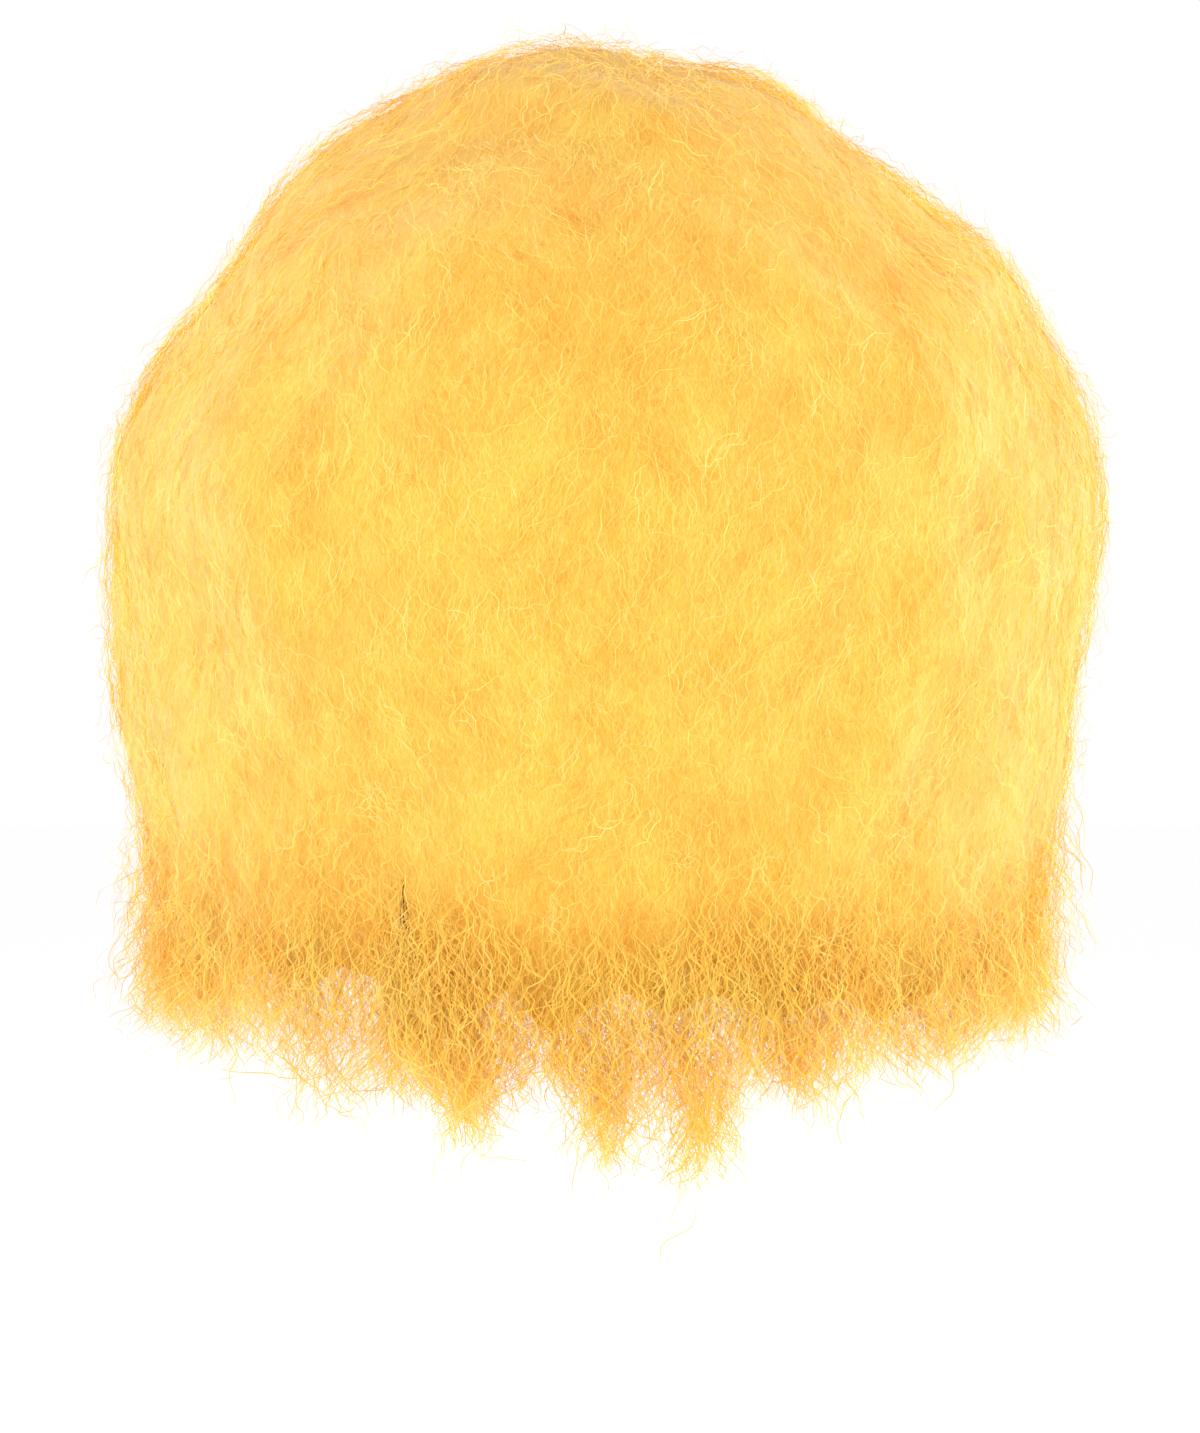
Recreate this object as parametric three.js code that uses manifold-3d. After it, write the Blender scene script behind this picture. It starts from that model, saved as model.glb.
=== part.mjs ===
// A jumbo afro wig in crimped golden-yellow fibre: a net cap, its elastic band and five rows of fused locks.
// Millimetres, +Z up. The origin is the spot inside the cap that rests on the top of the head.
// The face opening looks along -Y, the back of the head along +Y, and the wearer's left is +X.
// Every surface is a reach from one centre, the heart, which lies inside the head at its widest level.
// A direction from the heart has an azimuth, turned from +X towards +Y, and a fall, turned down from +Z.

import * as THREE from 'three';
import { ParametricGeometry } from 'three/addons/geometries/ParametricGeometry.js';
import { mergeVertices } from 'three/addons/utils/BufferGeometryUtils.js';
import Module from 'manifold-3d';

const wasm = await Module();
wasm.setup();

// Head that the cap fits, and how far below its top it is widest
const headBreadth = 156;
const headLength = 196;
const headRise = 108;

// Net cap, the round patch at its crown, and the elastic band along its edge.
// The band ends at a fall given in degrees for each side of the head.
const capWall = 1.8;
const crownPatchWidth = 88;
const bandWall = 2.4;
const bandWidth = 12;
const capRim = { left: 102, right: 102, back: 124, front: 58 };

// Cloud of hair: full width, reaches behind and before the heart, rise above it and drop below it
const cloudWidth = 474;
const cloudBack = 226;
const cloudFront = 204;
const cloudRise = 215;
const cloudDrop = 290;

// Fall at which the hair ends in its hem on each side of the head; the front value holds only near the face
const hemFall = { left: 138, right: 138, back: 145, front: 90 };
const hemPinch = 3;

// Height of the hem's inner edge below the heart, as a share of the cloud's drop
const napeShare = { left: 0.54, right: 0.54, back: 0.66, front: 0.42 };

// Head and neck hollow under the cap: how much wider it is than the head
const hollowEase = 8;

// Face opening: an arch as wide as the cheeks, its top this far below the top of the head
const faceWidth = 160;
const faceTop = 66;
const faceArch = 90;

// Locks: how many stand round a row, how far each swells, how far its tip laps over the row below,
// and by what share the slightest lock is slighter than the fullest
const lockCount = 20;
const lockSwell = 8;
const lockLap = 10;
const lockVariety = 0.5;
const lockTurn = 2.4;

// Hanging locks of the hem: the longest, the widest, and how deep each is rooted in the hem
const hemLockLength = 84;
const hemLockWidth = 66;
const hemLockRoot = 26;

// Parting in the hem at the back, seen as a thin wedge of light
const partingPlace = 85;
const partingWidth = 24;
const partingRise = 78;

// Small gaps that keep the pieces apart, and how far above the band the hair steps out round it
const seamGap = 0.3;
const rowGap = 0.6;
const bandLead = 1;

// Fineness of the faces
const columnsPerLock = 4;
const hairColumns = lockCount * columnsPerLock;
const capColumns = hairColumns / 2;
const seamSteps = 2;
const swellSteps = 4;
const hollowSteps = 3;
const lockSides = 6;

// Cloud's reach against a plain ellipsoid of the sizes above, every falling step of shapeStep degrees
const shapeStep = 20;
const cloudShape = [
  { left: 1.0, right: 1.0, back: 1.0, front: 1.0 },
  { left: 0.985, right: 0.985, back: 0.98, front: 0.98 },
  { left: 0.94, right: 0.94, back: 0.95, front: 0.96 },
  { left: 0.905, right: 0.945, back: 0.94, front: 0.97 },
  { left: 0.955, right: 0.98, back: 0.98, front: 0.99 },
  { left: 0.985, right: 0.995, back: 1.0, front: 0.99 },
  { left: 1.025, right: 1.02, back: 1.02, front: 0.97 },
  { left: 1.13, right: 1.14, back: 1.09, front: 0.95 },
  { left: 1.15, right: 1.15, back: 1.08, front: 0.92 },
];

// Rows of hair, top to bottom: where each ends on the cap, as a share of the way from the crown patch to the band,
// and on the cloud's outside, as a share of the way to the hem
const hairRows = [
  { name: 'hair_crown', seam: 0, edge: 0.27 },
  { name: 'hair_upper', seam: 0.4, edge: 0.5 },
  { name: 'hair_middle', seam: 0.68, edge: 0.68 },
  { name: 'hair_lower', seam: 0.86, edge: 0.84 },
  { name: 'hair_nape', seam: 0.95, edge: 1 },
];

// Hanging locks of the hem: azimuth in degrees, and length and width as shares of the longest and widest
const hemLocks = [
  { azimuth: -37, length: 0.3, width: 0.8 },
  { azimuth: -22, length: 0.22, width: 1 },
  { azimuth: -7, length: 0.34, width: 0.9 },
  { azimuth: 9, length: 0.26, width: 0.9 },
  { azimuth: 24, length: 0.22, width: 0.9 },
  { azimuth: 37, length: 0.34, width: 0.85 },
  { azimuth: 50, length: 0.5, width: 0.75 },
  { azimuth: 71, length: 0.55, width: 0.7 },
  { azimuth: 81, length: 0.4, width: 0.8 },
  { azimuth: 93, length: 0.84, width: 0.8 },
  { azimuth: 106, length: 1, width: 1 },
  { azimuth: 118, length: 0.44, width: 0.8 },
  { azimuth: 131, length: 0.24, width: 0.9 },
  { azimuth: 145, length: 0.2, width: 0.9 },
  { azimuth: 158, length: 0.24, width: 0.8 },
  { azimuth: 172, length: 0.4, width: 0.9 },
  { azimuth: 188, length: 0.26, width: 0.9 },
  { azimuth: 203, length: 0.34, width: 1 },
  { azimuth: 217, length: 0.24, width: 0.8 },
];

const heart = new THREE.Vector3(0, 0, -headRise);
const radians = THREE.MathUtils.degToRad;

const hairColours = ['#fbcf60', '#fbcd58', '#facb54', '#f9c850', '#f4bf55'];
const netFinish = new THREE.MeshStandardMaterial({ color: '#d9b25c', roughness: 0.9, metalness: 0 });
const elasticFinish = new THREE.MeshStandardMaterial({ color: '#c79f4e', roughness: 0.8, metalness: 0 });

// Value at an azimuth, eased between what the four sides of the head have.
// A pinch above one narrows the stretch in which the front value holds.
function roundTheHead(sides, azimuth, pinch = 1) {
  const flank = Math.cos(azimuth) > 0 ? sides.left : sides.right;
  const share = Math.sin(azimuth) ** 2;
  return Math.sin(azimuth) > 0
    ? THREE.MathUtils.lerp(flank, sides.back, share)
    : THREE.MathUtils.lerp(flank, sides.front, share ** pinch);
}

// Unit direction from the heart
function towards(azimuth, fall) {
  const level = Math.sin(fall);
  return new THREE.Vector3(level * Math.cos(azimuth), level * Math.sin(azimuth), Math.cos(fall));
}

// Reach from the heart to an ellipsoid with the given half sizes
function ellipsoidReach(direction, halfX, halfY, halfZ) {
  return 1 / Math.hypot(direction.x / halfX, direction.y / halfY, direction.z / halfZ);
}

// Reach to a surface that lies a given distance outside the head
function headReach(direction, outside) {
  return ellipsoidReach(direction, headBreadth / 2 + outside, headLength / 2 + outside, headRise + outside);
}

// Reach to the wall of the hollow, which goes straight down below the widest level
function hollowReach(direction) {
  const halfHeight = direction.z > 0 ? headRise + hollowEase : Infinity;
  return ellipsoidReach(direction, headBreadth / 2 + hollowEase, headLength / 2 + hollowEase, halfHeight);
}

// Share of the plain ellipsoid at a direction: a smooth curve through the rows of the shape table
function shapeShare(azimuth, fall) {
  const place = THREE.MathUtils.radToDeg(fall) / shapeStep;
  const row = Math.floor(place);
  const part = place - row;
  const at = (step) => roundTheHead(cloudShape[THREE.MathUtils.clamp(row + step, 0, cloudShape.length - 1)], azimuth);
  const [before, start, end, after] = [at(-1), at(0), at(1), at(2)];
  const turn = (3 * (start - end) + after - before) * part;
  const bend = 2 * before - 5 * start + 4 * end - after;
  return start + 0.5 * part * (end - before + part * (bend + turn));
}

// Reach to the outside of the cloud, without the swell of its locks
function cloudReach(azimuth, fall) {
  const direction = towards(azimuth, fall);
  const halfY = direction.y > 0 ? cloudBack : cloudFront;
  const halfZ = direction.z > 0 ? cloudRise : cloudDrop;
  return shapeShare(azimuth, fall) * ellipsoidReach(direction, cloudWidth / 2, halfY, halfZ);
}

// Fall of the wig's rim, where the band ends
function rimFall(azimuth) {
  return radians(roundTheHead(capRim, azimuth));
}

// Fall at which the cap ends and its band begins
function capEdge(azimuth) {
  const rim = rimFall(azimuth);
  return rim - bandWidth / headReach(towards(azimuth, rim), 0);
}

// Fall of the hem on the outside of the cloud
function hemEdge(azimuth) {
  return radians(roundTheHead(hemFall, azimuth, hemPinch));
}

// Fullness of a lock at its middle, falling to nought in the valley beside it.
// The locks of every other row are offset by half a lock, and no two neighbours are equally full.
function lockWave(azimuth, row) {
  const turn = azimuth * lockCount / (2 * Math.PI) + row / 2;
  const lock = Math.floor(turn);
  const slight = 0.5 + 0.5 * Math.sin(lockTurn * (lock % lockCount) + row);
  return (1 - lockVariety * slight) * (1 - Math.abs(2 * (turn - lock) - 1));
}

// Fall of the edge between a row and the next on the outside, where the tips of the upper locks lap over
function rowEdge(azimuth, row) {
  if (row < 0) return 0;
  const fall = hairRows[row].edge * hemEdge(azimuth);
  const lap = row < hairRows.length - 1 ? lockLap * (2 * lockWave(azimuth, row) - 1) : 0;
  return fall + lap / cloudReach(azimuth, fall);
}

// Fall of the seam between a row and the next on the cap
function rowSeam(azimuth, row) {
  if (row < 0) return 0;
  return THREE.MathUtils.lerp(crownPatchWidth / 2 / headRise, capEdge(azimuth), hairRows[row].seam);
}

// Point at a reach from the heart
function pointAt(azimuth, fall, reach) {
  return towards(azimuth, fall).multiplyScalar(reach).add(heart);
}

// Falls from one to another in equal steps, both ends included
function fallsBetween(start, end, steps) {
  return Array.from({ length: steps + 1 }, (_, step) => THREE.MathUtils.lerp(start, end, step / steps));
}

// Points down the outside of a row: each lock is flush at its top and fullest near its tip
function outsideOfRow(azimuth, row) {
  const top = rowEdge(azimuth, row - 1);
  const bottom = rowEdge(azimuth, row);
  const trim = rowGap / 2;
  const start = row > 0 ? top + trim / cloudReach(azimuth, top) : 0;
  const end = row < hairRows.length - 1 ? bottom - trim / cloudReach(azimuth, bottom) : bottom;
  return fallsBetween(start, end, swellSteps).map((fall, step) => {
    const swell = lockSwell * lockWave(azimuth, row) * Math.sin(step / swellSteps * Math.PI / 2);
    return pointAt(azimuth, fall, cloudReach(azimuth, fall) + swell);
  });
}

// Points up the side of a row that lies along the cap, from its lower seam to its upper one
function seamOfRow(azimuth, row) {
  const trim = rowGap / 2 / headRise;
  const top = row > 0 ? rowSeam(azimuth, row - 1) + trim : 0;
  const bottom = rowSeam(azimuth, row) - trim;
  return fallsBetween(bottom, top, seamSteps).map((fall) => {
    return pointAt(azimuth, fall, headReach(towards(azimuth, fall), capWall + seamGap));
  });
}

// Points up the wall of the hollow, from the inner edge of the hem to just below the band
function hollowOfHem(azimuth) {
  const depth = roundTheHead(napeShare, azimuth) * cloudDrop;
  const level = hollowReach(towards(azimuth, Math.PI / 2));
  const bottom = Math.PI / 2 + Math.atan2(depth, level);
  const top = rimFall(azimuth) + hollowEase / level;
  return fallsBetween(bottom, top, hollowSteps).map((fall) => {
    return pointAt(azimuth, fall, hollowReach(towards(azimuth, fall)));
  });
}

// Points up the band, where the lowest row hugs it
function bandOfHem(azimuth) {
  const outside = Math.max(capWall, bandWall) + seamGap;
  return bandFalls(azimuth).reverse().map((fall, step) => {
    const lift = step === seamSteps ? bandLead / headRise : 0;
    return pointAt(azimuth, fall - lift, headReach(towards(azimuth, fall - lift), outside));
  });
}

// Section of a row at an azimuth: down its outside, then up the hollow and the cap.
// Rows take turns in direction, so that neighbours fold the faces between them along the same diagonals.
function sectionOfRow(azimuth, row) {
  const hollow = row === hairRows.length - 1 ? [...hollowOfHem(azimuth), ...bandOfHem(azimuth)] : [];
  const section = [...outsideOfRow(azimuth, row), ...hollow, ...seamOfRow(azimuth, row)];
  return row % 2 ? section.reverse() : section;
}

// Section of a wall on the head between two falls, from its outside round to its inside
function sectionOfWall(azimuth, falls, wall) {
  const outside = falls.map((fall) => pointAt(azimuth, fall, headReach(towards(azimuth, fall), wall)));
  const inside = falls.map((fall) => pointAt(azimuth, fall, headReach(towards(azimuth, fall), 0)));
  return [...outside, ...inside.reverse()];
}

// Falls of the cap's rings, which are those of the rows sewn to it
function capFalls(azimuth) {
  const falls = hairRows.flatMap((_, row) => {
    return fallsBetween(rowSeam(azimuth, row - 1), rowSeam(azimuth, row), seamSteps).slice(row ? 1 : 0);
  });
  return [...falls, capEdge(azimuth)];
}

// Falls of the band's rings, a gap below the cap
function bandFalls(azimuth) {
  const edge = capEdge(azimuth);
  return fallsBetween(edge + seamGap / headReach(towards(azimuth, edge), 0), rimFall(azimuth), seamSteps);
}

// Geometry with its doubled vertices joined, its collapsed faces dropped and its faces turned outwards
function closedGeometry(source) {
  source.deleteAttribute('normal');
  source.deleteAttribute('uv');
  const geometry = mergeVertices(source, 1e-3);
  const corners = Array.from(geometry.index.array);
  const position = geometry.getAttribute('position');
  const [a, b, c] = [new THREE.Vector3(), new THREE.Vector3(), new THREE.Vector3()];
  const faces = [];
  let volume = 0;
  for (let first = 0; first < corners.length; first += 3) {
    const [i, j, k] = corners.slice(first, first + 3);
    if (i === j || j === k || k === i) continue;
    a.fromBufferAttribute(position, i);
    b.fromBufferAttribute(position, j);
    c.fromBufferAttribute(position, k);
    volume += a.dot(b.cross(c));
    faces.push([i, j, k]);
  }
  geometry.setIndex((volume > 0 ? faces : faces.map((face) => face.reverse())).flat());
  return geometry;
}

// Body swept round the head from its section at each azimuth
function sweptRound(sectionAt, columns) {
  const steps = sectionAt(0).length;
  const sections = Array.from({ length: columns }, (_, column) => sectionAt(2 * Math.PI * column / columns));
  const skin = (round, along, target) => {
    const column = Math.round(round * columns) % columns;
    target.copy(sections[column][Math.round(along * steps) % steps]);
  };
  return closedGeometry(new ParametricGeometry(skin, columns, steps));
}

// Geometry as a solid that can be cut and joined
function solidFrom(geometry) {
  const vertProperties = Float32Array.from(geometry.getAttribute('position').array);
  const triVerts = Uint32Array.from(geometry.index.array);
  return new wasm.Manifold(new wasm.Mesh({ numProp: 3, vertProperties, triVerts }));
}

// Solid as a geometry again
function geometryFrom(solid) {
  const mesh = solid.getMesh();
  const geometry = new THREE.BufferGeometry();
  geometry.setAttribute('position', new THREE.BufferAttribute(mesh.vertProperties, 3));
  geometry.setIndex(new THREE.BufferAttribute(mesh.triVerts, 1));
  return closedGeometry(geometry);
}

// Prism between two distances along Y, from an outline in X and Z
function prismAlongY(outline, start, end) {
  const prism = new THREE.ExtrudeGeometry(outline, { depth: end - start, bevelEnabled: false, curveSegments: 12 });
  prism.rotateX(Math.PI / 2);
  prism.translate(0, end, 0);
  return solidFrom(closedGeometry(prism));
}

// Opening for the face: an arch that runs forward from the middle of the head and down past the hem
function faceOpening() {
  const spring = -faceTop - faceArch;
  const foot = -headRise - 2 * cloudDrop;
  const arch = new THREE.Shape();
  arch.moveTo(-faceWidth / 2, foot);
  arch.lineTo(faceWidth / 2, foot);
  arch.lineTo(faceWidth / 2, spring);
  arch.absellipse(0, spring, faceWidth / 2, faceArch, 0, Math.PI, false);
  arch.closePath();
  return prismAlongY(arch, -2 * cloudFront, 0);
}

// Wedge of light that parts the hem at the back
function hemParting() {
  const hem = cloudReach(Math.PI / 2, radians(hemFall.back));
  const foot = heart.z + hem * Math.cos(radians(hemFall.back));
  const wedge = new THREE.Shape();
  wedge.moveTo(partingPlace - partingWidth, foot - partingRise);
  wedge.lineTo(partingPlace + partingWidth, foot - partingRise);
  wedge.lineTo(partingPlace, foot + partingRise);
  wedge.closePath();
  return prismAlongY(wedge, 0, 2 * cloudBack);
}

// Hanging lock of the hem, round at its root and drawn out to a point
function hemLock({ azimuth, length, width }) {
  const turn = radians(azimuth);
  const fall = rowEdge(turn, hairRows.length - 1);
  const corner = pointAt(turn, fall, cloudReach(turn, fall));
  const inner = hollowOfHem(turn)[0];
  const radius = width * hemLockWidth / 2;
  const inset = radius / corner.distanceTo(inner);
  const root = corner.clone().lerp(inner, inset);
  const tip = corner.z - root.z - length * hemLockLength;
  const profile = [[0, tip], [0.36, 0.6 * tip], [0.88, 0], [1, hemLockRoot], [0, hemLockRoot]];
  const outline = profile.map(([share, height]) => new THREE.Vector2(share * radius, height));
  const lock = new THREE.LatheGeometry(outline, lockSides);
  lock.rotateX(Math.PI / 2);
  lock.translate(root.x, root.y, root.z);
  return solidFrom(closedGeometry(lock));
}

// Row of hair, cut for the face; the lowest row is parted and carries the hanging locks
function hairRow(row) {
  let solid = solidFrom(sweptRound((azimuth) => sectionOfRow(azimuth, row), hairColumns)).subtract(faceOpening());
  if (row === hairRows.length - 1) {
    solid = solid.subtract(hemParting());
    for (const lock of hemLocks) solid = solid.add(hemLock(lock));
  }
  return geometryFrom(solid);
}

// Mesh under its name
function named(name, geometry, material) {
  const mesh = new THREE.Mesh(geometry, material);
  mesh.name = name;
  return mesh;
}

const cap = sweptRound((azimuth) => sectionOfWall(azimuth, capFalls(azimuth), capWall), capColumns);
const band = sweptRound((azimuth) => sectionOfWall(azimuth, bandFalls(azimuth), bandWall), capColumns);

const wig = new THREE.Group();
wig.add(named('wig_cap', cap, netFinish));
wig.add(named('rim_band', band, elasticFinish));
hairRows.forEach(({ name }, row) => {
  const fibre = new THREE.MeshStandardMaterial({ color: hairColours[row], roughness: 0.75, metalness: 0 });
  wig.add(named(name, hairRow(row), fibre));
});

export default wig;
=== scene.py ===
"""Looks of a jumbo afro wig in crimped golden-yellow fibre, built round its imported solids.

Each row of hair becomes a closed bed, which has the row's own form, and a fleece of crimped fibres that grows
from the bed. The lowest row also hangs a hem of long loose fibres. The net cap and its elastic rim stay as the
solids are and take a knitted finish. Sizes are in metres, +Z is up, the face opening looks along -Y and the
origin is the spot inside the cap that rests on the top of the head.
"""

import logging
import math
from dataclasses import dataclass, field
from enum import Enum

import bmesh
import bpy
import numpy as np
from mathutils import Matrix, Vector


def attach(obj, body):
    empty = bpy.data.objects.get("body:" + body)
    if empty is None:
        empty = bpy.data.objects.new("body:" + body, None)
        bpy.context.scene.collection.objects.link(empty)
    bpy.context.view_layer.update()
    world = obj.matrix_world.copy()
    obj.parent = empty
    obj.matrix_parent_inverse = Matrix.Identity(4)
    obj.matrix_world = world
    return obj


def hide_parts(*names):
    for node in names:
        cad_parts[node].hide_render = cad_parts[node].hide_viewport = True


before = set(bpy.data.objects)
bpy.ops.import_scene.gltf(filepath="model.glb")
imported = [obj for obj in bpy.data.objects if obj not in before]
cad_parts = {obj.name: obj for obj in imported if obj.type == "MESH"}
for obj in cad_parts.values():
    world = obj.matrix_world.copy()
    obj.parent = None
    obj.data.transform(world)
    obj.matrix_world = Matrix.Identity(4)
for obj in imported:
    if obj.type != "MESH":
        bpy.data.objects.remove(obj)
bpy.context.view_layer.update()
log = logging.getLogger("wig")

MM = 0.001
BODY = "root"
BAKE_MAP = "OFBake"


class Face(Enum):
    """What a face of a hair bed is, kept as its material index while the bed is cut."""

    COMBED = 0
    SHELTERED = 1
    HIDDEN = 2
    CUT = 3


@dataclass(frozen=True)
class Sides:
    """A value given for the four sides of the head, eased round the azimuths between them."""

    left: float
    right: float
    back: float
    front: float

    def at(self, azimuth: np.ndarray, pinch: float = 1.0) -> np.ndarray:
        """Value at azimuths: flank and end values mixed by sin squared of the azimuth.

        Args:
            azimuth: angles turned from +X towards +Y.
            pinch: power that narrows the stretch in which the front value holds.

        Returns:
            The eased value at each azimuth.
        """
        flank = np.where(np.cos(azimuth) > 0, self.left, self.right)
        share = np.sin(azimuth) ** 2
        back = flank + (self.back - flank) * share
        front = flank + (self.front - flank) * share ** pinch
        return np.where(np.sin(azimuth) > 0, back, front)


def towards(azimuth: np.ndarray, fall: np.ndarray) -> np.ndarray:
    """Unit directions (sin fall cos azimuth, sin fall sin azimuth, cos fall), with fall turned down from +Z."""
    level = np.sin(fall)
    return np.stack([level * np.cos(azimuth), level * np.sin(azimuth), np.cos(fall)], axis=-1)


def unit(vectors: np.ndarray) -> np.ndarray:
    """Vectors divided by their lengths."""
    return vectors / np.maximum(np.linalg.norm(vectors, axis=-1, keepdims=True), 1e-12)


def ellipsoid_reach(direction: np.ndarray, half_x: float, half_y: np.ndarray, half_z: np.ndarray) -> np.ndarray:
    """Distance from the centre of an ellipsoid to its skin: one over the length of direction over half sizes."""
    parts = [direction[..., 0] / half_x, direction[..., 1] / half_y, direction[..., 2] / half_z]
    return 1 / np.sqrt(sum(part ** 2 for part in parts))


@dataclass(frozen=True)
class Waves:
    """Smooth unevenness in space, made of plane waves."""

    count: int
    shortest: float
    longest: float
    seed: int

    def at(self, place: np.ndarray) -> np.ndarray:
        """Unevenness at places: the sum of the waves' sines, scaled to a spread of one."""
        draw = np.random.default_rng(self.seed)
        ways = unit(draw.normal(size=(self.count, 3)))
        turns = 2 * np.pi / draw.uniform(self.shortest, self.longest, self.count)
        phases = draw.uniform(0, 2 * np.pi, self.count)
        swing = np.sin(np.tensordot(place, ways * turns[:, None], axes=([-1], [1])) + phases)
        return swing.sum(axis=-1) * math.sqrt(2 / self.count)


@dataclass(frozen=True)
class CloudForm:
    """The wig's form as reaches from the heart, a point inside the head at its widest level."""

    head_breadth: float = 156 * MM
    head_length: float = 196 * MM
    head_rise: float = 108 * MM
    cap_gap: float = 2.4 * MM
    band_gap: float = 3.0 * MM
    band_width: float = 12 * MM
    crown_patch: float = 88 * MM
    cloud_width: float = 474 * MM
    cloud_back: float = 226 * MM
    cloud_front: float = 204 * MM
    cloud_rise: float = 215 * MM
    cloud_drop: float = 290 * MM
    hollow_ease: float = 8 * MM
    cap_rim: Sides = Sides(left=102, right=102, back=124, front=58)
    hem_fall: Sides = Sides(left=138, right=138, back=145, front=90)
    nape_share: Sides = Sides(left=0.54, right=0.54, back=0.66, front=0.42)
    hem_pinch: float = 3.0
    shape_step: float = 20.0
    shape: tuple[Sides, ...] = (
        Sides(left=1.0, right=1.0, back=1.0, front=1.0),
        Sides(left=0.985, right=0.985, back=0.98, front=0.98),
        Sides(left=0.94, right=0.94, back=0.95, front=0.96),
        Sides(left=0.905, right=0.945, back=0.94, front=0.97),
        Sides(left=0.955, right=0.98, back=0.98, front=0.99),
        Sides(left=0.985, right=0.995, back=1.0, front=0.99),
        Sides(left=1.025, right=1.02, back=1.02, front=0.97),
        Sides(left=1.13, right=1.14, back=1.09, front=0.95),
        Sides(left=1.15, right=1.15, back=1.08, front=0.92),
    )
    lump_height: float = 2.6 * MM
    lump_waves: Waves = Waves(count=16, shortest=50 * MM, longest=130 * MM, seed=5)

    @property
    def heart(self) -> np.ndarray:
        """The point that every reach is measured from."""
        return np.array([0.0, 0.0, -self.head_rise])

    def head_reach(self, direction: np.ndarray, outside: float) -> np.ndarray:
        """Reach to a skin that lies a distance outside the head."""
        return ellipsoid_reach(
            direction, self.head_breadth / 2 + outside, self.head_length / 2 + outside, self.head_rise + outside)

    def hollow_reach(self, direction: np.ndarray) -> np.ndarray:
        """Reach to the wall of the hollow, which goes straight down below the widest level."""
        ease = self.hollow_ease
        half_z = np.where(direction[..., 2] > 0, self.head_rise + ease, np.inf)
        return ellipsoid_reach(direction, self.head_breadth / 2 + ease, self.head_length / 2 + ease, half_z)

    def shape_share(self, azimuth: np.ndarray, fall: np.ndarray) -> np.ndarray:
        """Cloud's share of its plain ellipsoid: a cubic through the rows of the shape table."""
        place = np.degrees(fall) / self.shape_step
        row = np.floor(place)
        part = place - row
        rows = np.stack([sides.at(azimuth) for sides in self.shape])

        def at(step: int) -> np.ndarray:
            """Table value a step away from the row above the place."""
            index = np.clip(row + step, 0, len(self.shape) - 1).astype(int)
            return np.take_along_axis(rows, index[None], axis=0)[0]

        before, start, end, after = at(-1), at(0), at(1), at(2)
        turn = (3 * (start - end) + after - before) * part
        bend = 2 * before - 5 * start + 4 * end - after
        return start + 0.5 * part * (end - before + part * (bend + turn))

    def reach(self, azimuth: np.ndarray, fall: np.ndarray) -> np.ndarray:
        """Reach to the outside of the cloud: the ellipsoid of its sizes times the share in the shape table."""
        direction = towards(azimuth, fall)
        half_y = np.where(direction[..., 1] > 0, self.cloud_back, self.cloud_front)
        half_z = np.where(direction[..., 2] > 0, self.cloud_rise, self.cloud_drop)
        return self.shape_share(azimuth, fall) * ellipsoid_reach(direction, self.cloud_width / 2, half_y, half_z)

    def lumpy_point(self, azimuth: np.ndarray, fall: np.ndarray, inset: np.ndarray) -> np.ndarray:
        """Point an inset below the cloud's outside, moved along its ray by the cloud's soft lumps."""
        reach = self.reach(azimuth, fall) - inset
        lumps = self.lump_height * self.lump_waves.at(self.point(azimuth, fall, reach))
        return self.point(azimuth, fall, reach + lumps)

    def rim_fall(self, azimuth: np.ndarray) -> np.ndarray:
        """Fall of the wig's rim."""
        return np.radians(self.cap_rim.at(azimuth))

    def cap_edge(self, azimuth: np.ndarray) -> np.ndarray:
        """Fall at which the cap ends and its band begins."""
        rim = self.rim_fall(azimuth)
        return rim - self.band_width / self.head_reach(towards(azimuth, rim), 0.0)

    def hem_edge(self, azimuth: np.ndarray) -> np.ndarray:
        """Fall of the hem on the outside of the cloud."""
        return np.radians(self.hem_fall.at(azimuth, self.hem_pinch))

    def hem_level(self, azimuth: np.ndarray) -> np.ndarray:
        """Height of the hem's outer edge."""
        edge = self.hem_edge(azimuth)
        return self.point(azimuth, edge, self.reach(azimuth, edge))[..., 2]

    def seam(self, azimuth: np.ndarray, share: float) -> np.ndarray:
        """Fall of a seam on the cap, as a share of the way from the crown patch to the band."""
        patch = self.crown_patch / 2 / self.head_rise
        return patch + (self.cap_edge(azimuth) - patch) * share

    def point(self, azimuth: np.ndarray, fall: np.ndarray, reach: np.ndarray) -> np.ndarray:
        """Point at a reach from the heart: heart plus direction times reach."""
        return self.heart + towards(azimuth, fall) * reach[..., None]


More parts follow.
